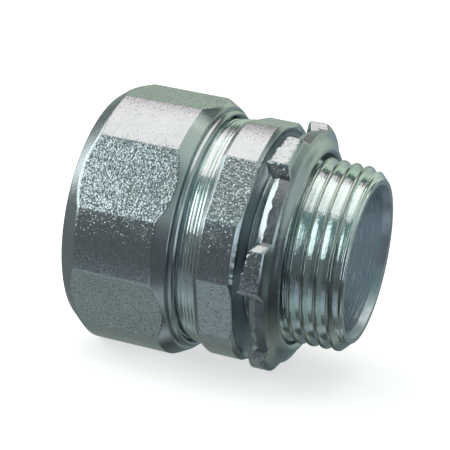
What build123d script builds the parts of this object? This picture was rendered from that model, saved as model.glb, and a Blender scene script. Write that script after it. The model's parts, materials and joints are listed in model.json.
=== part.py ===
from build123d import *
import os
from math import atan, degrees, radians, tan

# Threadless compression connector for 3/4 in trade size rigid conduit. Millimetres.
# The axis lies along X. The collar's seat face, which meets the box wall, is the plane x = 0.
# +X points out of the threaded end, -X out of the conduit end, and a flat of the nut faces down.

INCH = 25.4

# Conduit and wire way
conduit_r = 1.050 * INCH / 2
socket_r = conduit_r + 0.265
throat_r = 10.5
throat_edge_round = 0.3
conduit_stop_x = -4.2

# Threaded end, 3/4-14 tapered pipe thread
hub_thread_pitch = INCH / 14
hub_thread_end_x = 13.8
hub_crest_r_at_end = 12.95
hub_thread_depth = 1.15
hub_end_chamfer = 1.35
pipe_taper = 1 / 32
neck_r = 11.95
neck_length = 1.5

# Hexagonal collar with rounded corners
collar_across_flats = 33.1
collar_corner_r = 17.2
collar_left_x = -5.6
collar_left_chamfer = 0.8
collar_right_chamfer = 0.5
collar_turn = 24

# Gland thread, 24 threads per inch, and its mouth
gland_pitch = INCH / 24
gland_crest_r = 16.1
gland_depth = 0.65
gland_left_x = -17.0
gland_right_x = -6.7
gland_end_chamfer = 0.5
seat_angle = 30
mouth_r = 14.9

# Split compression ring
ring_bore_r = conduit_r + 0.115
ring_band_r = 15.1
ring_tip_r = 13.95
ring_band_left_x = -20.7
ring_band_right_x = -18.7
ring_split = 3.0

# Gland nut
nut_left_x = -25.1
nut_right_x = -8.4
nut_across_flats = 35.7
nut_corner_r = 18.6
nut_left_face_r = 17.35
nut_shoulder_x = -9.3
nut_shoulder_r = 17.55
nut_lip_r = 17.0
nut_lip_chamfer = 0.3
nut_hole_r = conduit_r + 0.565
nut_wall = 2.2
nut_seat_gap = 0.29
nut_thread_bore_r = 16.25
nut_thread_left_x = -17.6
nut_relief_r = 16.6
nut_turn = 30

# Stamped locknut
locknut_bore_r = 13.55
locknut_rim_left_x = 2.1
locknut_rim_right_x = 4.5
locknut_rim_r = 16.4
locknut_hub_right_x = 5.9
locknut_hub_r = 14.0
lug_count = 6
lug_width_deg = 22
lug_root_r = 15.0
lug_tip_r = 17.8
lug_right_x = 4.9
lug_long_end_x = 0.75
lug_short_end_x = 1.75


def cone_run(rise):
    """How far a cone at the seat angle runs along X while its radius changes by rise."""
    return rise / tan(radians(seat_angle))


def turned(outline, arc=360):
    """A solid of revolution about X from a closed outline of (x, radius) points."""
    return revolve(make_face(Polyline(*outline, close=True)), axis=Axis.X, revolution_arc=arc)


def hexagon(across_flats, left, right, turn):
    """A hexagonal prism along X, with one flat facing the angle turn, from +Y towards +Z."""
    sketch = Plane.YZ * Rot(0, 0, turn + 30) * RegularPolygon(across_flats / 2, 6, major_radius=False)
    return Pos(left, 0, 0) * extrude(sketch, right - left)


def ridges(left, right, crest_r, depth, pitch, taper=0.0):
    """Points of a row of thread ridges, from left to right, as (x, radius). The crests taper inwards."""
    crest_width = pitch / 8
    count = int((right - left) / pitch)
    points = []
    for turn in range(count):
        start = left + turn * pitch
        local_crest = crest_r - taper * (start - left)
        points.append((start, local_crest - depth))
        points.append((start + (pitch - crest_width) / 2, local_crest))
        points.append((start + (pitch + crest_width) / 2, local_crest))
    points.append((left + count * pitch, crest_r - taper * count * pitch - depth))
    return points


def connector_body():
    """Gland thread, hexagonal collar and tapered hub thread on one turned body."""
    inside_collar_x = collar_left_x + 1
    gland = turned(
        [(gland_left_x, 0)]
        + ridges(gland_left_x, gland_right_x, gland_crest_r, gland_depth, gland_pitch)
        + [(gland_right_x, gland_crest_r), (inside_collar_x, gland_crest_r), (inside_collar_x, 0)]
    )
    gland &= turned([
        (gland_left_x, 0),
        (gland_left_x, gland_crest_r - gland_end_chamfer),
        (gland_left_x + gland_end_chamfer, gland_crest_r),
        (inside_collar_x, gland_crest_r),
        (inside_collar_x, 0),
    ])

    collar = hexagon(collar_across_flats, collar_left_x, 0, collar_turn)
    collar &= turned([
        (collar_left_x, 0),
        (collar_left_x, collar_corner_r - collar_left_chamfer),
        (collar_left_x + collar_left_chamfer, collar_corner_r),
        (-collar_right_chamfer, collar_corner_r),
        (0, collar_corner_r - collar_right_chamfer),
        (0, 0),
    ])

    crest_r_at_neck = hub_crest_r_at_end + pipe_taper * (hub_thread_end_x - neck_length)
    inside_seat_x = -1
    hub = turned(
        [(inside_seat_x, 0), (inside_seat_x, neck_r)]
        + ridges(
            neck_length, hub_thread_end_x, crest_r_at_neck, hub_thread_depth, hub_thread_pitch, pipe_taper
        )
        + [(hub_thread_end_x, hub_crest_r_at_end - hub_thread_depth), (hub_thread_end_x, 0)]
    )
    hub &= turned([
        (inside_seat_x, 0),
        (inside_seat_x, collar_corner_r),
        (hub_thread_end_x - hub_end_chamfer, hub_crest_r_at_end),
        (hub_thread_end_x, hub_crest_r_at_end - hub_end_chamfer),
        (hub_thread_end_x, 0),
    ])

    throat_mouth_r = throat_r + throat_edge_round
    hollow = turned([
        (gland_left_x, 0),
        (gland_left_x, mouth_r),
        (gland_left_x + cone_run(mouth_r - socket_r), socket_r),
        (conduit_stop_x, socket_r),
        (conduit_stop_x, throat_mouth_r),
        (conduit_stop_x + throat_edge_round, throat_r),
        (hub_thread_end_x - throat_edge_round, throat_r),
        (hub_thread_end_x, throat_mouth_r),
        (hub_thread_end_x, 0),
    ])
    return gland + collar + hub - hollow


def compression_ring():
    """Split steel ring, tapered at both ends, that the nut squeezes onto the conduit."""
    left_tip_x = ring_band_left_x - cone_run(ring_band_r - ring_tip_r)
    right_tip_x = ring_band_right_x + cone_run(ring_band_r - ring_tip_r)
    ring = turned([
        (left_tip_x, ring_bore_r),
        (left_tip_x, ring_tip_r),
        (ring_band_left_x, ring_band_r),
        (ring_band_right_x, ring_band_r),
        (right_tip_x, ring_tip_r),
        (right_tip_x, ring_bore_r),
    ])
    middle_x = (ring_band_left_x + ring_band_right_x) / 2
    middle_r = (ring_bore_r + ring_band_r) / 2
    ring_length = right_tip_x - left_tip_x
    ring_wall = ring_band_r - ring_bore_r
    split = Pos(middle_x, 0, middle_r) * Box(2 * ring_length, ring_split, 3 * ring_wall)
    return ring - split


def gland_nut():
    """Hexagonal nut with rounded corners, an internal cone at the conduit end and a plain lip."""
    blank = turned([
        (nut_left_x, 0),
        (nut_left_x, nut_left_face_r),
        (nut_left_x + cone_run(nut_corner_r - nut_left_face_r), nut_corner_r),
        (nut_shoulder_x - cone_run(nut_corner_r - nut_shoulder_r), nut_corner_r),
        (nut_shoulder_x, nut_shoulder_r),
        (nut_shoulder_x, nut_lip_r),
        (nut_right_x - nut_lip_chamfer, nut_lip_r),
        (nut_right_x, nut_lip_r - nut_lip_chamfer),
        (nut_right_x, 0),
    ])
    blank &= hexagon(nut_across_flats, nut_left_x, nut_right_x, nut_turn)
    seat_left_x = nut_left_x + nut_wall
    seat_right_r = ring_band_r + nut_seat_gap
    seat_left_r = seat_right_r - (ring_band_left_x - seat_left_x) * tan(radians(seat_angle))
    hollow = turned([
        (nut_left_x, 0),
        (nut_left_x, nut_hole_r),
        (seat_left_x, nut_hole_r),
        (seat_left_x, seat_left_r),
        (ring_band_left_x, seat_right_r),
        (ring_band_left_x, nut_relief_r),
        (nut_thread_left_x, nut_relief_r),
        (nut_thread_left_x, nut_thread_bore_r),
        (nut_right_x, nut_thread_bore_r),
        (nut_right_x, 0),
    ])
    return blank - hollow


def locknut_lug():
    """One lug facing +Y, longer towards the body at the end that digs in when the nut is undone."""
    sector = turned(
        [
            (lug_long_end_x, lug_root_r),
            (lug_long_end_x, lug_tip_r),
            (lug_right_x, lug_tip_r),
            (lug_right_x, lug_root_r),
        ],
        arc=lug_width_deg,
    )
    sector = Rot(-lug_width_deg / 2, 0, 0) * sector
    lean = lug_short_end_x - lug_long_end_x
    half_width = lug_tip_r * tan(radians(lug_width_deg / 2))
    slant = -degrees(atan(lean / (2 * half_width)))
    middle_x = lug_long_end_x + lean / 2
    waste = Pos(middle_x, lug_tip_r, 0) * Rot(0, slant, 0) * Pos(-lug_tip_r, 0, 0) * Box(*[2 * lug_tip_r] * 3)
    return sector - waste


def locknut():
    """Stamped locknut: a dished disc with a recessed rim and biting lugs."""
    disc = turned([
        (locknut_rim_left_x, locknut_bore_r),
        (locknut_rim_left_x, locknut_rim_r),
        (locknut_rim_right_x, locknut_rim_r),
        (locknut_hub_right_x, locknut_hub_r),
        (locknut_hub_right_x, locknut_bore_r),
    ])
    lug = locknut_lug()
    for index in range(lug_count):
        disc += Rot(index * 360 / lug_count, 0, 0) * lug
    return disc


os.makedirs("parts", exist_ok=True)
export_step(connector_body(), "parts/connector_body.step")
export_step(compression_ring(), "parts/compression_ring.step")
export_step(gland_nut(), "parts/gland_nut.step")
export_step(locknut(), "parts/locknut.step")
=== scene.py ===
"""Looks of a threadless compression connector: zinc-plated steel, standing on a pale studio floor.

Lengths are in millimetres until to_object() turns them into metres. The connector's axis is X.
An angle is in degrees about X, from +Y towards +Z. A surface is held as rows: an array of
(row, angle, 2) whose last axis is (x, radius), so one row is a ring around the axis.
The studio at the end of the file is in metres.
"""

import json

import bpy
import numpy as np
from mathutils import Matrix, Vector


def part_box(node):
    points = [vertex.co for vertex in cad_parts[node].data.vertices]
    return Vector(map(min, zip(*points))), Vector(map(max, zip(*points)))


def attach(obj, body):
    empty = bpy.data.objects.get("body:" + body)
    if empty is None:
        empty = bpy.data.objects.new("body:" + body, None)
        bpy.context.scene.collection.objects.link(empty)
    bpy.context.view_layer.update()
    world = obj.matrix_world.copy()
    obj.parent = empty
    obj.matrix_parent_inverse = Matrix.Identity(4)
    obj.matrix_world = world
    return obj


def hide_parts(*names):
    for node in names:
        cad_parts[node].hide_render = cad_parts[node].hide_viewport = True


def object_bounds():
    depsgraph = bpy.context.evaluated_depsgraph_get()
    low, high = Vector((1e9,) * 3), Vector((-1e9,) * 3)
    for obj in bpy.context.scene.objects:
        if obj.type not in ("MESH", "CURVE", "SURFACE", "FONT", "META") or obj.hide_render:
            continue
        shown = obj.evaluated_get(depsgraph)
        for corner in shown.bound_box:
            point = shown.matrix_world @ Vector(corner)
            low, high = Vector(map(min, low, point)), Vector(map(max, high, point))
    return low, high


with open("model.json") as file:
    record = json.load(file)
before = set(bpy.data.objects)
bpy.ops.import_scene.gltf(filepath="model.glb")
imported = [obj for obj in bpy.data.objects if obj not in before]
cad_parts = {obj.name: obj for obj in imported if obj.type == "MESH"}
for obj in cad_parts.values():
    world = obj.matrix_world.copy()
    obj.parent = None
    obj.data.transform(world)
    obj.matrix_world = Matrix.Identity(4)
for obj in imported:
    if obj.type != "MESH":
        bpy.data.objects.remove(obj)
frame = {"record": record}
cad_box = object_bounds()

MM = 0.001
PER_MM = 1000
INCH = 25.4


def box_mm(node):
    """Lowest and highest corner of a CAD node, in millimetres."""
    low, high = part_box(node)
    return low / MM, high / MM


def mount_radius(name):
    """Radius of a bore mount in the record, in millimetres."""
    mount = next(m for m in frame["record"]["mounts"] if m["name"] == name)
    return mount["dims"]["r_mm"]


# ---------------------------------------------------------------------------
# Sizes. The CAD boxes give the outer sizes, and the others are named here. An _x is a place on the
# axis, an _r a radius and a pair (x, r). A _run is a length along the axis, a _rise one away from it,
# and a _turn the angle that the first flat of a hexagon faces.
# ---------------------------------------------------------------------------

body_low, body_high = box_mm("connector_body")
ring_low, ring_high = box_mm("compression_ring")
nut_low, nut_high = box_mm("gland_nut")
locknut_low, locknut_high = box_mm("locknut")

# Softened edges: how far each edge is rounded back along the surfaces beside it.
SHARP = 0.05
CRISP = 0.12
EASY = 0.3

# A closed outline begins and ends in a plain bore, this far apart.
OUTLINE_GAP = 0.1

# Angle of the cones that squeeze the ring
seat_angle = 30

# Connector body
body_left_x = body_low.x
body_right_x = body_high.x
collar_corner_r = -body_low.y
collar_across_flats = 33.1
collar_apothem = collar_across_flats / 2
collar_turn = 24
collar_left_x = -5.6
collar_bevel_run = 0.6
collar_bevel_rise = 0.35
collar_right_chamfer = 0.55
seat_edge_rise = 0.15
seat_rim_r = 15.9
seat_rim_bevel = 0.2
seat_step = 0.12
socket_r = mount_radius("conduit_entry")
throat_r = mount_radius("wire_throat")
throat_edge = 0.3
throat_mouth_r = throat_r + throat_edge
throat_taper_run = 1.2
stop_x = -4.2
mouth_r = 14.9
neck_r = 11.9
neck_end_x = 1.1

# Rows of a mesh for each turn of a thread, more where the thread is seen from close by
HIDDEN_ROWS = 6
NUT_ROWS = 9
GLAND_ROWS = 12
RUN_OUT_ROWS = 20
HUB_ROWS = 22

# Gland thread, 24 threads per inch. One groove passes through (groove_x, groove_angle).
gland_pitch = INCH / 24
gland_crest_r = 16.1
gland_depth = 0.65
gland_hidden_x = -12.5
gland_right_x = -5.7
gland_end_chamfer = 0.5
gland_end_r = gland_crest_r - gland_end_chamfer - SHARP
groove_x = -7.8
groove_angle = 148.8
groove_steepness = np.tan(np.radians(72))

# Where the gland thread runs out beside the collar: the crests dip, then rise along a gentle cone
# while the grooves get shallower and a seam opens between them.
run_out_x = -8.6
run_out_dip = 0.12
run_out_dip_run = 0.5
run_out_rise = 0.37
run_out_groove = 0.3
run_out_end_x = gland_right_x + 0.02
run_out_end_r = gland_crest_r - run_out_dip + run_out_rise
seam_groove = 0.25
seam_starts = 0.3
seam_is_full = 0.6

# Tapered hub thread, 14 threads per inch. One crest passes through (hub_crest_x, hub_crest_angle).
hub_pitch = INCH / 14
hub_thread_x = 1.2
hub_run_in = 1.2 * hub_pitch
hub_crest_r = 12.95
hub_depth = 1.15
hub_taper = 1 / 32
hub_crest_x = 9.6
hub_crest_angle = 73.8

# Shape of the hub thread, where 0 is a crest and 1 a root: a round crest with a faint seam on it,
# then a straight flank. The crests are worn down to crest_band below their tops.
crest_seam = 0.05
crest_seam_share = 0.1
crest_share = 0.36
flank_end = 0.92
crest_band = 0.16

# Chamfer at the hub's end, with tool marks
hub_end_r = 11.6
hub_chamfer_run = 1.35
hub_chamfer_blend = 0.08
hub_face_r = hub_end_r - hub_chamfer_blend
tool_mark_pitch = 0.48
tool_mark_depth = 0.12

# Compression ring
ring_bore_r = 13.45
ring_band_r = ring_high.y
ring_tip_r = 13.95
ring_tip_run = (ring_band_r - ring_tip_r) / np.tan(np.radians(seat_angle))
ring_split = 3.0

# Gland nut
nut_left_x = nut_low.x
nut_right_x = nut_high.x
nut_corner_r = nut_high.y
nut_apothem = nut_high.z
nut_turn = 30
nut_face_r = 16.6
nut_left_slope = np.tan(np.radians(38))
nut_shoulder_x = -9.3
nut_shoulder_r = 17.55
nut_right_slope = np.tan(np.radians(30))
nut_lip_r = 17.0
nut_lip_edge = 0.3
lip_groove = 0.2
nut_hole_r = 13.9
nut_hole_edge = 0.3
nut_bore_r = 16.25
nut_bore_left_x = -17.6
nut_relief_right_x = nut_bore_left_x - SHARP
nut_thread_depth = 0.45
nut_crest_share = 0.1
nut_flank_share = 0.8
nut_thread_roundness = 0.3
nut_mouth_chamfer = 0.2
nut_relief_r = 16.75
nut_seat_left = (-22.9, 14.12)
nut_seat_right = (-20.7, 15.39)

# Locknut. The share of lug is 1 on a lug and 0 on the plain rim, with a slope between them.
locknut_bore_r = 13.55
locknut_bore_edge = 0.35
locknut_seam_x = 3.8
locknut_left_x = 2.1
locknut_right_x = locknut_high.x
locknut_rim_r = 16.4
locknut_rim_right_x = 4.5
locknut_hub_r = 14.1
dish_round = 0.5
dish_rim = (locknut_rim_right_x + 0.35, 15.6)
dish_hub = (locknut_right_x - 0.35, 14.75)
rim_roll_run = 1.0
rim_roll_rise = 0.5
lug_count = 6
lug_spacing = 360 / lug_count
lug_half_width = 11
lug_slope_start = 14
lug_slope_width = 4.5
lug_tip_r = locknut_high.y
lug_tip_right_x = 4.0
lug_root_r = 15.0
lug_root_rise = 0.15
lug_root_gap = 0.1
lug_long_x = locknut_low.x
lug_short_x = 1.75
lug_bite_gap = 0.15
lug_roll_run = 0.2
lug_roll_rise = 0.2
lug_edge_round = 0.15
rim_back_round = 0.12
lug_back_round = 0.72
lug_torn_from = 0.3

# Waves around the locknut, each (height, waves in a turn, shift in degrees)
LUG_END_WAVES = (0.5, 5, 0), (0.4, 13, 40)
TORN_WAVES = (0.12, 47, 0), (0.12, 83, 20), (0.08, 131, 50)
RIM_WAVES = (0.10, 37, 0), (0.08, 71, 20), (0.06, 139, 50)

# Steps of a mesh around a hexagon: on a flat, on a rounded corner, and across the edge between them,
# so many degrees to both sides of it
FLAT_STEPS = 14
CORNER_STEPS = 12
EDGE_STEPS = 6
EDGE_WIDTH = 1.3

# Steps around the locknut: on half the rim between two lugs, on a lug, and across its torn end, so
# many degrees inward and outward from it
RIM_STEPS = 8
LUG_STEPS = 24
TORN_STEPS = 20
TORN_INSIDE = 2
TORN_OUTSIDE = 4

# Angles around the split ring
RING_ANGLES = 181


# ---------------------------------------------------------------------------
# Mesh building
# ---------------------------------------------------------------------------

def smooth_step(low, high, value):
    """0 below low, 1 above high, with an even slope in between."""
    t = np.clip((value - low) / (high - low), 0, 1)
    return t * t * (3 - 2 * t)


def smooth_min(first, second, blend):
    """The lower of two heights, with the crossing rounded over about blend."""
    return (first + second - np.hypot(first - second, blend)) / 2


def ring_row(x, r, angles):
    """One row from numbers or from one value for each angle."""
    return np.stack(np.broadcast_arrays(x, r, angles)[:2], axis=-1).astype(float)


def rounded(corners, angles, steps=4):
    """Rows along an open outline of corners, with the inner corners rounded.

    A corner is (x, r, reach, finish). reach is how far its rounding extends along both sides, and
    finish names the surface from this corner to the next one. Returns the rows and their finishes.
    A guard row just beyond each rounding keeps the shading of the wide surfaces level.
    """
    largest_share = 0.4
    guard = 1.15
    points = [ring_row(x, r, angles) for x, r, reach, finish in corners]
    rows = [points[0]]
    finishes = [corners[0][3]]
    for index in range(1, len(corners) - 1):
        here, reach, finish = points[index], corners[index][2], corners[index][3]
        back, ahead = points[index - 1] - here, points[index + 1] - here
        back_length = np.linalg.norm(back, axis=-1, keepdims=True)
        ahead_length = np.linalg.norm(ahead, axis=-1, keepdims=True)
        span = np.minimum(reach, largest_share * np.minimum(back_length, ahead_length))
        start = back / back_length * span
        end = ahead / ahead_length * span
        before = finishes[-1]
        rows.append(here + guard * start)
        finishes.append(before)
        for t in np.linspace(0, 1, steps + 1):
            rows.append(here + (1 - t) ** 2 * start + t ** 2 * end)
            finishes.append(before if t < 0.5 else finish)
        rows.append(here + guard * end)
        finishes.append(finish)
    rows.append(points[-1])
    finishes.append(corners[-1][3])
    return np.array(rows), finishes


def joined(*parts):
    """One closed outline from several (rows, finishes) parts."""
    rows, finishes = zip(*parts)
    return np.concatenate(rows), sum(finishes, [])


def ring_faces(row_count, angle_count):
    """Quads between neighbouring rows and angles, both of them closed round."""
    row, angle = np.meshgrid(np.arange(row_count), np.arange(angle_count), indexing="ij")
    next_row, next_angle = (row + 1) % row_count, (angle + 1) % angle_count
    corners = (row, angle), (row, next_angle), (next_row, next_angle), (next_row, angle)
    return np.stack([r * angle_count + a for r, a in corners], axis=-1).reshape(-1, 4)


def to_object(name, x, y, z, faces, face_finish, finishes):
    """A smooth-shaded mesh object from millimetres, with one material for each finish."""
    mesh = bpy.data.meshes.new(name)
    points = np.stack([x, y, z], axis=-1).reshape(-1, 3) * MM
    mesh.from_pydata(points.tolist(), [], [list(face) for face in faces])
    for finish in finishes:
        mesh.materials.append(MATERIALS[finish])
    indices = [finishes.index(finish) for finish in face_finish]
    mesh.polygons.foreach_set("material_index", indices)
    mesh.shade_smooth()
    mesh.validate()
    piece = bpy.data.objects.new(name, mesh)
    bpy.context.scene.collection.objects.link(piece)
    return piece


def turned(name, outline, angles, *swaps):
    """A watertight piece from a closed outline that goes right along the outside, left along the inside.

    A swap is (where, usual, other): where it holds, the usual finish gives way to the other one.
    """
    rows, row_finish = outline
    around = np.radians(angles)
    x, r = rows[..., 0], rows[..., 1]
    finishes = sorted(set(row_finish))
    face_finish = np.repeat(row_finish, len(angles))
    for where, usual, other in swaps:
        finishes.append(other)
        where = np.broadcast_to(where, x.shape).ravel()
        face_finish = np.where(where & (face_finish == usual), other, face_finish)
    faces = ring_faces(len(rows), len(angles))
    return to_object(name, x, r * np.cos(around), r * np.sin(around), faces, face_finish, finishes)


def stand_in(piece, node):
    """The piece is shown in place of the CAD node and moves with its body."""
    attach(piece, node)
    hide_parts(node)


# ---------------------------------------------------------------------------
# Shapes that several pieces share
# ---------------------------------------------------------------------------

def hexagon_angles(apothem, corner_r, turn):
    """Angles around a hexagon, closer together where its flats meet its rounded corners."""
    edge = np.degrees(np.arccos(apothem / corner_r))
    next_edge = 60 - edge
    side = np.concatenate([
        np.linspace(-edge + EDGE_WIDTH, edge - EDGE_WIDTH, FLAT_STEPS, endpoint=False),
        np.linspace(edge - EDGE_WIDTH, edge + EDGE_WIDTH, EDGE_STEPS, endpoint=False),
        np.linspace(edge + EDGE_WIDTH, next_edge - EDGE_WIDTH, CORNER_STEPS, endpoint=False),
        np.linspace(next_edge - EDGE_WIDTH, next_edge + EDGE_WIDTH, EDGE_STEPS, endpoint=False),
    ])
    return np.concatenate([side + turn + 60 * index for index in range(6)])


def from_nearest_flat(angles, turn):
    """Angle from the middle of the nearest flat of a hexagon whose first flat faces the angle turn."""
    return (angles - turn + 30) % 60 - 30


def hexagon_r(angles, apothem, corner_r, turn):
    """Radius of a hexagon with rounded corners, whose first flat faces the angle turn."""
    edge_blend = 0.03
    flat_r = apothem / np.cos(np.radians(from_nearest_flat(angles, turn)))
    return smooth_min(flat_r, corner_r, edge_blend)


def on_corner(angles, apothem, corner_r, turn):
    """Whether each angle is on a rounded corner of the hexagon."""
    margin = 0.1
    edge = np.degrees(np.arccos(apothem / corner_r))
    return np.abs(from_nearest_flat(angles, turn)) > edge - margin


def from_nearest_crest(phase):
    """0 at a thread's crest, where phase is whole, and 1 at its root."""
    return 2 * np.abs(phase - np.round(phase))


def nut_thread_shape(phase):
    """Depth of the nut's thread, from 0 to 1."""
    from_crest = from_nearest_crest(phase)
    straight = np.clip((from_crest - nut_crest_share) / nut_flank_share, 0, 1)
    wave = (1 - np.cos(np.pi * from_crest)) / 2
    return (1 - nut_thread_roundness) * straight + nut_thread_roundness * wave


def pipe_thread_shape(phase):
    """Depth of the hub thread, from 0 to 1: a round crest with a faint seam, and straight flanks."""
    from_crest = from_nearest_crest(phase)
    round_crest = from_crest ** 2 / (2 * crest_share)
    straight_flank = np.minimum(from_crest, flank_end) - crest_share / 2
    depth = np.where(from_crest < crest_share, round_crest, straight_flank) / (flank_end - crest_share / 2)
    seam = crest_seam * (1 - smooth_step(0, crest_seam_share, from_crest))
    return seam + depth


def right_hand_phase(x, angles, pitch, crest_x, crest_angle):
    """Turns from the crest through (crest_x, crest_angle), for every x and angle."""
    return (x - crest_x) / pitch - (angles - crest_angle) / 360


def evenly(left, right, spacing):
    """Row positions from left to right, at most spacing apart, as a column."""
    count = int(np.ceil((right - left) / spacing)) + 1
    return np.linspace(left, right, count)[:, None]


def rows_of(x, r, finish):
    """Rows with x and r given for every row and angle, all of one finish."""
    x, r = np.broadcast_arrays(x, r)
    return np.stack([x, r], axis=-1), [finish] * len(x)


# ---------------------------------------------------------------------------
# The four pieces
# ---------------------------------------------------------------------------

def gland_thread_rows(angles):
    """The fine thread under the nut, which runs out beside the collar."""
    x = np.concatenate([
        evenly(body_left_x, gland_hidden_x, gland_pitch / HIDDEN_ROWS)[:-1],
        evenly(gland_hidden_x, run_out_x, gland_pitch / GLAND_ROWS)[:-1],
        evenly(run_out_x, gland_right_x, gland_pitch / RUN_OUT_ROWS),
    ])
    phase = right_hand_phase(x, angles, gland_pitch, groove_x, groove_angle)
    from_groove = gland_pitch * np.abs(phase - np.round(phase))
    from_seam = gland_pitch / 2 - from_groove
    run_out = np.clip((x - run_out_x) / (gland_right_x - run_out_x), 0, 1)
    groove = gland_depth + (run_out_groove - gland_depth) * run_out - groove_steepness * from_groove
    seam = seam_groove * smooth_step(seam_starts, seam_is_full, run_out) - groove_steepness * from_seam
    dip = run_out_dip * smooth_step(run_out_x - run_out_dip_run, run_out_x, x)
    crest_r = gland_crest_r - dip + run_out_rise * run_out
    r = crest_r - np.maximum(np.maximum(groove, seam), 0)
    start_r = gland_crest_r - gland_end_chamfer + (x - body_left_x)
    return rows_of(x, smooth_min(r, start_r, SHARP), "rolled")


def hub_crest_r_at(x):
    """Radius of the tapered hub thread's crests."""
    return hub_crest_r + hub_taper * (body_right_x - x)


def hub_thread_rows(angles):
    """The tapered pipe thread, running out into the neck and cut off by the end chamfer."""
    x = evenly(hub_thread_x, body_right_x, hub_pitch / HUB_ROWS)
    phase = right_hand_phase(x, angles, hub_pitch, hub_crest_x, hub_crest_angle)
    run_in = smooth_step(hub_thread_x, hub_thread_x + hub_run_in, x)
    depth = hub_depth * (1 - run_in * (1 - pipe_thread_shape(phase)))
    slope = (hub_crest_r - hub_end_r) / hub_chamfer_run
    tool_marks = tool_mark_depth * (1 - np.cos(2 * np.pi * (body_right_x - x) / tool_mark_pitch)) / 2
    chamfer_r = hub_end_r + slope * (body_right_x - x) - tool_marks
    return rows_of(x, smooth_min(hub_crest_r_at(x) - depth, chamfer_r, hub_chamfer_blend), "threaded")


def connector_body():
    """Gland thread, collar and hub thread on one turned body with a hole right through it."""
    angles = hexagon_angles(collar_apothem, collar_corner_r, collar_turn)
    collar_r = hexagon_r(angles, collar_apothem, collar_corner_r, collar_turn)
    seat_edge_r = np.minimum(collar_r - seat_edge_rise, collar_corner_r - collar_right_chamfer)
    gland = gland_thread_rows(angles)
    hub = hub_thread_rows(angles)
    collar = rounded([
        (run_out_end_x, run_out_end_r, CRISP, "turned"),
        (collar_left_x, run_out_end_r, SHARP, "turned"),
        (collar_left_x, collar_r - collar_bevel_rise, SHARP, "turned"),
        (collar_left_x + collar_bevel_run, collar_r, CRISP, "collar"),
        (seat_edge_r - collar_r, collar_r, CRISP, "turned"),
        (0, seat_edge_r, CRISP, "turned"),
        (0, seat_rim_r, SHARP, "faced"),
        (-seat_step, seat_rim_r - seat_rim_bevel, SHARP, "faced"),
        (-seat_step, neck_r, EASY, "turned"),
        (neck_end_x, neck_r, CRISP, "turned"),
    ], angles)
    hollow = rounded([
        (body_right_x, hub_face_r, CRISP, "turned"),
        (body_right_x, throat_mouth_r, CRISP, "reamed"),
        (body_right_x - throat_taper_run, throat_r, CRISP, "bored"),
        (stop_x + throat_edge, throat_r, CRISP, "bored"),
        (stop_x, throat_mouth_r, CRISP, "bored"),
        (stop_x, socket_r, CRISP, "bored"),
        (body_left_x + (mouth_r - socket_r) / np.tan(np.radians(seat_angle)), socket_r, CRISP, "bored"),
        (body_left_x, mouth_r, CRISP, "turned"),
        (body_left_x, gland_end_r, CRISP, "turned"),
    ], angles)
    outline = joined(gland, collar, hub, hollow)
    x, r = outline[0][..., 0], outline[0][..., 1]
    corners = on_corner(angles, collar_apothem, collar_corner_r, collar_turn)
    crests = r > hub_crest_r_at(x) - crest_band
    piece = turned(
        "connector_body_shape", outline, angles,
        (corners, "collar", "corner"), (crests, "threaded", "crest"),
    )
    stand_in(piece, "connector_body")


def gland_nut():
    """Hexagonal nut with rounded corners, cones at both ends, a plain lip and a threaded inside."""
    angles = hexagon_angles(nut_apothem, nut_corner_r, nut_turn)
    side_r = hexagon_r(angles, nut_apothem, nut_corner_r, nut_turn)
    left_x = nut_left_x + (side_r - nut_face_r) / nut_left_slope
    right_x = nut_shoulder_x - (side_r - nut_shoulder_r) / nut_right_slope
    outside = rounded([
        (nut_left_x, nut_hole_r + nut_hole_edge, CRISP, "turned"),
        (nut_left_x, nut_face_r, EASY, "turned"),
        (left_x, side_r, EASY, "drawn"),
        (right_x, side_r, CRISP, "turned"),
        (nut_shoulder_x, nut_shoulder_r, CRISP, "turned"),
        (nut_shoulder_x, nut_lip_r - lip_groove, SHARP, "turned"),
        (nut_shoulder_x + lip_groove, nut_lip_r, SHARP, "turned"),
        (nut_right_x - nut_lip_edge, nut_lip_r, CRISP, "turned"),
        (nut_right_x, nut_lip_r - nut_lip_edge, CRISP, "turned"),
        (nut_right_x, nut_bore_r + nut_mouth_chamfer, SHARP, "turned"),
    ], angles)
    x = evenly(nut_bore_left_x, nut_right_x - SHARP, gland_pitch / NUT_ROWS)[::-1]
    phase = right_hand_phase(x, angles, gland_pitch, groove_x, groove_angle)
    thread_r = nut_bore_r + nut_thread_depth * nut_thread_shape(phase)
    thread_r = np.maximum(thread_r, nut_bore_r + nut_mouth_chamfer - (nut_right_x - x))
    inside = rounded([
        (nut_relief_right_x, nut_relief_r, CRISP, "bored"),
        (nut_seat_right[0], nut_relief_r, CRISP, "bored"),
        (*nut_seat_right, CRISP, "turned"),
        (*nut_seat_left, CRISP, "turned"),
        (nut_seat_left[0], nut_hole_r, CRISP, "bored"),
        (nut_left_x + nut_hole_edge, nut_hole_r, CRISP, "turned"),
    ], angles)
    outline = joined(outside, rows_of(x, thread_r, "bored"), inside)
    corners = on_corner(angles, nut_apothem, nut_corner_r, nut_turn)
    piece = turned("gland_nut_shape", outline, angles, (corners, "drawn", "corner"))
    stand_in(piece, "gland_nut")


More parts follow.
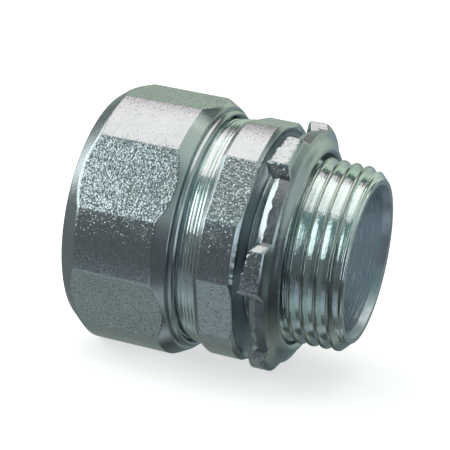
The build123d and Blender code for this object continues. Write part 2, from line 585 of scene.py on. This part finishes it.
def compression_ring():
    """Split ring, tapered at both ends. The gap at the top has parallel sides."""
    share = np.linspace(0, 1, RING_ANGLES)
    band_left = ring_low.x + ring_tip_run
    band_right = ring_high.x - ring_tip_run
    middle_x = (ring_low.x + ring_high.x) / 2
    rows, row_finish = rounded([
        (middle_x, ring_bore_r, CRISP, "bored"),
        (ring_low.x, ring_bore_r, CRISP, "turned"),
        (ring_low.x, ring_tip_r, CRISP, "turned"),
        (band_left, ring_band_r, EASY, "turned"),
        (band_right, ring_band_r, EASY, "turned"),
        (ring_high.x, ring_tip_r, CRISP, "turned"),
        (ring_high.x, ring_bore_r, CRISP, "bored"),
        (middle_x + OUTLINE_GAP, ring_bore_r, CRISP, "bored"),
    ], share)
    x, r = rows[..., 0], rows[..., 1]
    half_gap = np.arcsin(ring_split / 2 / r)
    around = np.pi / 2 + half_gap + share * (2 * np.pi - 2 * half_gap)
    row_count, angle_count = x.shape
    faces = ring_faces(row_count, angle_count)
    at_gap = np.arange(len(faces)) % angle_count == angle_count - 1
    first_end = [row * angle_count for row in range(row_count)]
    last_end = [row * angle_count + angle_count - 1 for row in range(row_count)]
    faces = faces[~at_gap].tolist() + [first_end[::-1], last_end]
    face_finish = np.repeat(row_finish, angle_count)[~at_gap].tolist() + ["sheared"] * 2
    piece = to_object(
        "compression_ring_shape", x, r * np.cos(around), r * np.sin(around),
        faces, face_finish, ["bored", "turned", "sheared"],
    )
    stand_in(piece, "compression_ring")


def locknut_angles():
    """Angles around the locknut, closer together at the two torn ends of each lug."""
    inner, outer = lug_half_width - TORN_INSIDE, lug_half_width + TORN_OUTSIDE
    side = np.concatenate([
        np.linspace(-lug_spacing / 2, -outer, RIM_STEPS, endpoint=False),
        np.linspace(-outer, -inner, TORN_STEPS, endpoint=False),
        np.linspace(-inner, inner, LUG_STEPS, endpoint=False),
        np.linspace(inner, outer, TORN_STEPS, endpoint=False),
        np.linspace(outer, lug_spacing / 2, RIM_STEPS, endpoint=False),
    ])
    return np.concatenate([side + lug_spacing * index for index in range(lug_count)])


def waviness(angles, waves):
    """A sum of sine waves around the axis, each (height, waves per turn, shift)."""
    return sum(height * np.sin(np.radians(count * angles + shift)) for height, count, shift in waves)


def locknut():
    """Stamped disc, dished on the right, with a die-rolled rim and six torn, biting lugs."""
    angles = locknut_angles()
    from_lug = (angles + lug_spacing / 2) % lug_spacing - lug_spacing / 2
    slope_start = lug_slope_start + waviness(angles, LUG_END_WAVES)
    lug = np.clip((slope_start - np.abs(from_lug)) / lug_slope_width, 0, 1)
    along = np.clip(from_lug / lug_half_width, -1, 1)
    bite_x = lug_short_x + (lug_long_x - lug_short_x) * (along + 1) / 2
    torn = waviness(angles, TORN_WAVES)
    torn_x = np.maximum(bite_x + lug_bite_gap + torn, lug_long_x)
    left_x = locknut_left_x + lug * (torn_x - locknut_left_x)
    tip_r = locknut_rim_r + lug * (lug_tip_r - locknut_rim_r)
    tip_right_x = locknut_rim_right_x + lug * (lug_tip_right_x - locknut_rim_right_x)
    ragged_run = rim_roll_run + waviness(angles, RIM_WAVES)
    roll_run = ragged_run + lug * (lug_roll_run - ragged_run)
    roll_rise = rim_roll_rise + lug * (lug_roll_rise - rim_roll_rise - torn)
    back_round = rim_back_round + (lug_back_round - rim_back_round) * lug[:, None]
    outline = rounded([
        (locknut_seam_x, locknut_bore_r, CRISP, "bored"),
        (locknut_left_x, locknut_bore_r, EASY, "stamped"),
        (locknut_left_x, lug_root_r, SHARP, "stamped"),
        (left_x, lug_root_r + lug_root_rise * lug + lug_root_gap, SHARP, "stamped"),
        (left_x, tip_r - roll_rise, lug_edge_round, "stamped"),
        (left_x + roll_run, tip_r, lug_edge_round, "sheared"),
        (tip_right_x, tip_r, back_round, "stamped"),
        (*dish_rim, dish_round, "stamped"),
        (*dish_hub, dish_round, "stamped"),
        (locknut_right_x, locknut_hub_r, EASY, "stamped"),
        (locknut_right_x - locknut_bore_edge, locknut_bore_r, EASY, "bored"),
        (locknut_seam_x + OUTLINE_GAP, locknut_bore_r, CRISP, "bored"),
    ], angles)
    piece = turned("locknut_shape", outline, angles, (lug > lug_torn_from, "sheared", "torn"))
    stand_in(piece, "locknut")


# ---------------------------------------------------------------------------
# Materials. All are zinc-plated steel; the finishes differ in how the steel was worked, and two of their
# colours carry painted light.
# ---------------------------------------------------------------------------

class Nodes:
    """A short way to add nodes to a tree and link them."""

    def __init__(self, tree):
        self.tree = tree
        tree.nodes.clear()

    def add(self, kind, **inputs):
        """A node of a kind, with values or links on its inputs. An input's _ stands for a space."""
        node = self.tree.nodes.new(kind)
        for name, value in inputs.items():
            self.set(node.inputs[name.replace("_", " ")], value)
        return node

    def set(self, socket, value):
        """Puts a link or a plain value on a socket."""
        if isinstance(value, bpy.types.NodeSocket):
            self.tree.links.new(value, socket)
        else:
            socket.default_value = value

    def math(self, operation, *values):
        """A Math node's result."""
        node = self.tree.nodes.new("ShaderNodeMath")
        node.operation = operation
        for socket, value in zip(node.inputs, values):
            self.set(socket, value)
        return node.outputs[0]

    def vector_math(self, operation, *values, scale=None):
        """A Vector Math node's result."""
        node = self.tree.nodes.new("ShaderNodeVectorMath")
        node.operation = operation
        for socket, value in zip(node.inputs, values):
            self.set(socket, value)
        if scale is not None:
            self.set(node.inputs["Scale"], scale)
        return node.outputs[0]

    def noise(self, place, waves_per_mm, detail, roughness):
        """A Noise Texture's value."""
        node = self.add("ShaderNodeTexNoise", Vector=place, Detail=detail, Roughness=roughness)
        self.set(node.inputs["Scale"], waves_per_mm * PER_MM)
        return node.outputs[0]

    def between(self, value, low, high, to_low, to_high):
        """Value carried from one range to another, clamped."""
        node = self.tree.nodes.new("ShaderNodeMapRange")
        for socket, number in zip(node.inputs, (value, low, high, to_low, to_high)):
            self.set(socket, number)
        return node.outputs[0]

    def past(self, value, limits):
        """0 before the first limit, 1 past the second."""
        return self.between(value, *limits, 0, 1)

    def mix(self, factor, first, second):
        """A colour between two colours."""
        node = self.tree.nodes.new("ShaderNodeMix")
        node.data_type = "RGBA"
        colours = [socket for socket in node.inputs if socket.type == "RGBA"]
        self.set(node.inputs[0], factor)
        self.set(colours[0], first)
        self.set(colours[1], second)
        return next(socket for socket in node.outputs if socket.type == "RGBA")


# Colours of the plating in its several states, and of the steel that a cut lays bare.
# Two of the plating colours are lightened as painted light.
ZINC = (0.60, 0.655, 0.67, 1)
# The plating made far lighter than ZINC for the threads: a painted highlight, a lit copy of the plating
ZINC_PAINTED_HIGHLIGHT = (0.85, 0.94, 0.93, 1)
# The plating's real blue tint, made lighter than ZINC as painted light for the bore and the seat face, which
# lie in shade
ZINC_BLUE_AND_PAINTED_LIGHT = (0.72, 0.80, 0.87, 1)
ZINC_DULL = (0.47, 0.52, 0.53, 1)
ZINC_WORN = (0.45, 0.50, 0.46, 1)
SHEARED_ZINC = (0.31, 0.34, 0.37, 1)
BARE_STEEL = (0.20, 0.20, 0.21, 1)

# Noise in the plating, each (waves per millimetre, detail, roughness), and the values between which
# it takes effect
CLOUDS, CLOUD_RANGE = (0.22, 4.0, 0.6), (0.4, 0.7)
SPECKS, SPECK_RANGE = (3.0, 2.0, 0.5), (0.62, 0.75)
BLOTCHES, BLOTCH_RANGE = (0.6, 3.0, 0.5), (0.3, 0.7)

# What the specks add of the dull colour, and what the blotches multiply the roughness by
SPECK_STRENGTH = 0.5
BLOTCH_ROUGHNESS = (0.8, 1.3)

# Grain and turning lines are marks of noise, so many in a wave, each kind (detail, roughness).
MARKS_PER_WAVE = 1.6
GRAIN_NOISE = (1.5, 0.45)
LINE_NOISE = (3.0, 0.6)

# How fast the turning lines change away from the axis and around it, where 1 is along it
LINES_OUTWARD = 1.7
LINES_AROUND = 0.04

# Facets. Their borders wander by a share of their size, in so many waves for each facet. The level
# ones lean by a share of the others' tilt, and a few are in between. MIDDLE is a random colour's mean.
WANDER_REACH = 0.6
WANDER_WAVES = 1.5
LEVEL_LEAN = 0.25
BETWEEN_SHARE = 0.1
MIDDLE = (0.5, 0.5, 0.5)


def around_axis(nodes, place):
    """Coordinates that change quickly along X and the radius and slowly around the axis."""
    x, y, z = nodes.add("ShaderNodeSeparateXYZ", Vector=place).outputs
    squares = nodes.math("MULTIPLY", y, y), nodes.math("MULTIPLY", z, z)
    radius = nodes.math("SQRT", nodes.math("ADD", *squares))
    combined = nodes.add(
        "ShaderNodeCombineXYZ",
        X=nodes.math("ADD", x, nodes.math("MULTIPLY", radius, LINES_OUTWARD)),
        Y=nodes.math("MULTIPLY", y, LINES_AROUND),
        Z=nodes.math("MULTIPLY", z, LINES_AROUND),
    )
    return combined.outputs[0]


def faceted_normal(nodes, place, size_mm, tilt, share):
    """The surface normal leaned at random over small, irregular crystals, in a share of them."""
    wander_scale = WANDER_WAVES * PER_MM / size_mm
    wander = nodes.add("ShaderNodeTexNoise", Vector=place, Scale=wander_scale, Detail=1.0).outputs["Color"]
    moved = nodes.vector_math("SCALE", wander, scale=WANDER_REACH * size_mm * MM)
    there = nodes.vector_math("ADD", place, moved)
    cells = nodes.add("ShaderNodeTexVoronoi", Vector=there, Scale=PER_MM / size_mm)
    direction = nodes.vector_math("SUBTRACT", cells.outputs["Color"], MIDDLE)
    chance = nodes.add("ShaderNodeTexWhiteNoise", Vector=cells.outputs["Position"]).outputs["Value"]
    reach = nodes.between(chance, 1 - BETWEEN_SHARE - share, 1 - share, LEVEL_LEAN * tilt, tilt)
    lean = nodes.vector_math("SCALE", direction, scale=reach)
    normal = nodes.add("ShaderNodeNewGeometry").outputs["Normal"]
    return nodes.vector_math("NORMALIZE", nodes.vector_math("ADD", normal, lean))


def zinc(name, roughness, grain, lines=None, facets=None, colour=ZINC, dull=ZINC_DULL, dull_share=0.35):
    """Zinc plating, dull in places, with grain and perhaps turning lines around the axis or facets.

    grain and lines are each (size, height) in millimetres. facets is (size, tilt, share).
    """
    material = bpy.data.materials.new(name)
    material.use_nodes = True
    nodes = Nodes(material.node_tree)
    place = nodes.add("ShaderNodeTexCoord").outputs["Object"]

    clouds = nodes.between(nodes.noise(place, *CLOUDS), *CLOUD_RANGE, 0.0, dull_share)
    specks = nodes.between(nodes.noise(place, *SPECKS), *SPECK_RANGE, 0.0, SPECK_STRENGTH)
    base = nodes.mix(specks, nodes.mix(clouds, colour, dull), dull)

    low, high = BLOTCH_ROUGHNESS
    rough = nodes.between(nodes.noise(place, *BLOTCHES), *BLOTCH_RANGE, roughness * low, roughness * high)

    size_mm, height_mm = grain
    marks = nodes.noise(place, 1 / (MARKS_PER_WAVE * size_mm), *GRAIN_NOISE)
    bump = nodes.add("ShaderNodeBump", Distance=height_mm * MM, Height=marks)
    if facets:
        nodes.set(bump.inputs["Normal"], faceted_normal(nodes, place, *facets))
    normal = bump.outputs[0]
    if lines:
        size_mm, height_mm = lines
        marks = nodes.noise(around_axis(nodes, place), 1 / (MARKS_PER_WAVE * size_mm), *LINE_NOISE)
        bump = nodes.add("ShaderNodeBump", Distance=height_mm * MM, Height=marks, Normal=normal)
        normal = bump.outputs[0]
    shader = nodes.add(
        "ShaderNodeBsdfPrincipled", Base_Color=base, Metallic=1.0, Roughness=rough, Normal=normal
    )
    nodes.add("ShaderNodeOutputMaterial", Surface=shader.outputs[0])
    return material


FINISHES = {
    "drawn": dict(roughness=0.18, grain=(0.16, 0.05), facets=(0.15, 0.42, 0.7)),
    "collar": dict(roughness=0.18, grain=(0.16, 0.05), facets=(0.17, 0.45, 0.3)),
    "corner": dict(roughness=0.2, grain=(0.2, 0.02), facets=(0.12, 0.36, 0.22)),
    "turned": dict(roughness=0.2, grain=(0.5, 0.006), lines=(0.15, 0.03)),
    # The threads take the lightened plating colour, which is a painted highlight
    "rolled": dict(roughness=0.09, grain=(0.5, 0.02), lines=(0.12, 0.02), colour=ZINC_PAINTED_HIGHLIGHT, dull=ZINC),
    "threaded": dict(roughness=0.09, grain=(0.35, 0.025), lines=(0.12, 0.02), colour=ZINC_PAINTED_HIGHLIGHT, dull=ZINC),
    "crest": dict(roughness=0.15, grain=(0.5, 0.02), lines=(0.12, 0.06), colour=ZINC_WORN),
    # The bore, its mouth and the seat face take the blue colour, lightened there as painted light
    "reamed": dict(roughness=0.35, grain=(0.5, 0.01), lines=(0.2, 0.03), colour=ZINC_BLUE_AND_PAINTED_LIGHT, dull=ZINC),
    "bored": dict(roughness=0.36, grain=(0.4, 0.02), lines=(0.2, 0.12), colour=ZINC_BLUE_AND_PAINTED_LIGHT, dull=ZINC),
    "faced": dict(roughness=0.4, grain=(0.5, 0.01), lines=(0.2, 0.08), colour=ZINC_BLUE_AND_PAINTED_LIGHT, dull=ZINC),
    "stamped": dict(roughness=0.2, grain=(0.9, 0.03)),
    "torn": dict(roughness=0.25, grain=(0.3, 0.1), facets=(0.18, 0.45, 0.4)),
    "sheared": dict(roughness=0.34, grain=(0.3, 0.06), colour=SHEARED_ZINC, dull=BARE_STEEL, dull_share=0.9),
}
MATERIALS = {finish: zinc("zinc_" + finish, **look) for finish, look in FINISHES.items()}


# ---------------------------------------------------------------------------
# Studio
# ---------------------------------------------------------------------------

# Light that the plating mirrors from each side, by angle about the connector's axis:
# 0 is the side the camera is on, 90 straight up, 180 behind and -90 straight down.
SURROUNDINGS = [
    (-180, (0.40, 0.48, 0.41)),
    (-145, (0.26, 0.30, 0.26)),
    (-110, (0.20, 0.23, 0.22)),
    (-76, (0.29, 0.35, 0.33)),
    (-60, (0.38, 0.47, 0.48)),
    (-46, (0.12, 0.13, 0.14)),
    (12, (0.11, 0.12, 0.13)),
    (40, (0.13, 0.20, 0.20)),
    (64, (0.16, 0.24, 0.23)),
    (78, (0.60, 0.70, 0.62)),
    (125, (0.58, 0.68, 0.58)),
    (128, (0.10, 0.12, 0.11)),
    (147, (0.10, 0.12, 0.11)),
    (154, (0.55, 0.67, 0.54)),
    (166, (0.55, 0.67, 0.54)),
    (175, (0.40, 0.48, 0.41)),
    (180, (0.40, 0.48, 0.41)),
]
# The same for what the threads mirror from below, a little to the right of what the flats mirror
FLOOR = [
    (-180, (0.28, 0.36, 0.38)),
    (-150, (0.13, 0.17, 0.18)),
    (-116, (0.05, 0.055, 0.05)),
    (-106, (0.34, 0.38, 0.40)),
    (-98, (0.34, 0.38, 0.40)),
    (-90, (0.03, 0.035, 0.035)),
    (-76, (0.03, 0.035, 0.035)),
    (-68, (0.31, 0.34, 0.39)),
    (-36, (0.31, 0.34, 0.39)),
    (-28, (0.03, 0.035, 0.035)),
    (0, (0.11, 0.12, 0.13)),
]
# The two ends of the room. The right one is pale above and darkest below.
LEFT_END = (0.16, 0.18, 0.18, 1)
RIGHT_END = (0.06, 0.07, 0.075, 1)
RIGHT_WALL = (0.42, 0.50, 0.48, 1)
RIGHT_FLOOR = (0.04, 0.045, 0.045, 1)

# Where each of these begins and where it has taken over, as the X or Z of a direction of length 1.
# FLOOR has a left and a right edge, and it also ends level with the connector, at half a turn.
LEFT_END_X = (-0.35, -0.7)
RIGHT_END_X = (0.45, 0.8)
RIGHT_WALL_Z = (0.0, 0.25)
RIGHT_FLOOR_Z = (-0.3, -0.5)
FLOOR_LEFT_X = (-0.28, -0.2)
FLOOR_RIGHT_X = (0.45, 0.3)
FLOOR_TURN = (0.5, 0.49)

# Lights, each (name, direction from the connector, size in metres, radiance, colour)
LIGHTS = [
    ("overhead_softbox", (-0.29, 0.166, 0.943), (0.62, 0.53), 0.78, (1.0, 0.78, 0.83)),
    ("left_softbox", (-0.864, -0.297, 0.407), (0.80, 0.34), 1.5, (0.93, 1.0, 1.0)),
    ("open_end_fill", (0.88, -0.46, 0.0), (0.26, 0.26), 0.8, (0.75, 0.88, 1.0)),
]
light_distance = 0.5

# Stage. The wall is near enough for a camera that sees only a few metres.
wall_reach = 2.0
wall_top = 3.0
floor_glow = 0.6
wall_glow = 1.0
PALE = (0.9, 0.9, 0.9, 1)
GLOW = (1, 1, 1, 1)

# Camera. Its place is in millimetres and the rest in degrees: it stands at an azimuth that is 0 in
# front of the connector, looks down by its elevation and leans to its left.
camera_place = (70.4, -232.8, 68.5)
camera_azimuth = 18.513
camera_elevation = 15.403
camera_lean = 6.958
lens_mm = 144
film_width_mm = 36
nearest_seen = 0.01


def by_angle(nodes, turn, table):
    """A colour from a table of (degrees, colour), where turn is 0 at -180 degrees and 1 at 180."""
    ramp = nodes.add("ShaderNodeValToRGB", Fac=turn)
    stops = ramp.color_ramp.elements
    while len(stops) < len(table):
        stops.new(0.5)
    for stop, (degrees, colour) in zip(stops, table):
        stop.position = (degrees + 180) / 360
        stop.color = (*colour, 1)
    return ramp.outputs[0]


def surroundings():
    """The room: dark on the camera's side, pale above, grey behind and below, with an end at each side."""
    world = bpy.data.worlds.new("studio")
    bpy.context.scene.world = world
    world.use_nodes = True
    nodes = Nodes(world.node_tree)
    direction = nodes.add("ShaderNodeTexCoord").outputs["Generated"]
    x, y, z = nodes.add("ShaderNodeSeparateXYZ", Vector=direction).outputs
    angle = nodes.math("ARCTAN2", z, nodes.math("MULTIPLY", y, -1))
    turn = nodes.between(angle, -np.pi, np.pi, 0, 1)
    colour = by_angle(nodes, turn, SURROUNDINGS)
    across_floor = nodes.math("MULTIPLY", nodes.past(x, FLOOR_LEFT_X), nodes.past(x, FLOOR_RIGHT_X))
    over_floor = nodes.math("MULTIPLY", across_floor, nodes.past(turn, FLOOR_TURN))
    colour = nodes.mix(over_floor, colour, by_angle(nodes, turn, FLOOR))
    colour = nodes.mix(nodes.past(x, LEFT_END_X), colour, LEFT_END)
    right_end = nodes.mix(nodes.past(z, RIGHT_WALL_Z), RIGHT_END, RIGHT_WALL)
    right_end = nodes.mix(nodes.past(z, RIGHT_FLOOR_Z), right_end, RIGHT_FLOOR)
    colour = nodes.mix(nodes.past(x, RIGHT_END_X), colour, right_end)
    background = nodes.add("ShaderNodeBackground", Color=colour, Strength=1.0)
    nodes.add("ShaderNodeOutputWorld", Surface=background.outputs[0])


def soft_light(name, direction, size, radiance, colour):
    """A rectangular light that faces the connector."""
    data = bpy.data.lights.new(name, "AREA")
    data.shape = "RECTANGLE"
    data.size, data.size_y = size
    data.energy = radiance * np.pi * size[0] * size[1]
    data.color = colour
    light = bpy.data.objects.new(name, data)
    light.location = Vector(direction).normalized() * light_distance
    light.rotation_euler = light.location.to_track_quat("Z", "Y").to_euler()
    bpy.context.scene.collection.objects.link(light)


def stage_piece(name, points, faces, glow):
    """A pale part of the stage that is seen directly but not mirrored by the connector."""
    mesh = bpy.data.meshes.new(name)
    mesh.from_pydata(points, [], faces)
    material = bpy.data.materials.new(name + "_pale")
    material.use_nodes = True
    shader = material.node_tree.nodes["Principled BSDF"]
    shader.inputs["Base Color"].default_value = PALE
    shader.inputs["Roughness"].default_value = 0.9
    shader.inputs["Specular IOR Level"].default_value = 0.0
    shader.inputs["Emission Color"].default_value = GLOW
    shader.inputs["Emission Strength"].default_value = glow
    mesh.materials.append(material)
    piece = bpy.data.objects.new(name, mesh)
    bpy.context.scene.collection.objects.link(piece)
    piece.visible_glossy = False
    piece.visible_shadow = False
    return piece


def stage():
    """A pale floor that the connector's lower flat stands on, and a pale wall all round it."""
    floor_z = cad_box[0][2]
    side = [(-1, -1), (1, -1), (1, 1), (-1, 1)]
    low = [(wall_reach * x, wall_reach * y, floor_z) for x, y in side]
    high = [(wall_reach * x, wall_reach * y, wall_top) for x, y in side]
    stage_piece("floor", low, [(0, 1, 2, 3)], floor_glow)
    wall_faces = [(k, (k + 1) % 4, (k + 1) % 4 + 4, k + 4) for k in range(4)]
    wall = stage_piece("wall", low + high, wall_faces, wall_glow)
    wall.visible_diffuse = False


def camera():
    """A long lens that looks down on the connector from in front, a little beyond its open end."""
    data = bpy.data.cameras.new("camera")
    data.lens = lens_mm
    data.sensor_width = film_width_mm
    data.clip_start = nearest_seen
    view = bpy.data.objects.new("camera", data)
    turns = (camera_azimuth, "Z"), (90 - camera_elevation, "X"), (camera_lean, "Z")
    view.matrix_world = Matrix.Translation(Vector(camera_place) * MM)
    for degrees, axis in turns:
        view.matrix_world @= Matrix.Rotation(np.radians(degrees), 4, axis)
    bpy.context.scene.collection.objects.link(view)
    bpy.context.scene.camera = view


connector_body()
compression_ring()
gland_nut()
locknut()
surroundings()
for light in LIGHTS:
    soft_light(*light)
stage()
camera()
bpy.context.scene.view_settings.view_transform = "Standard"
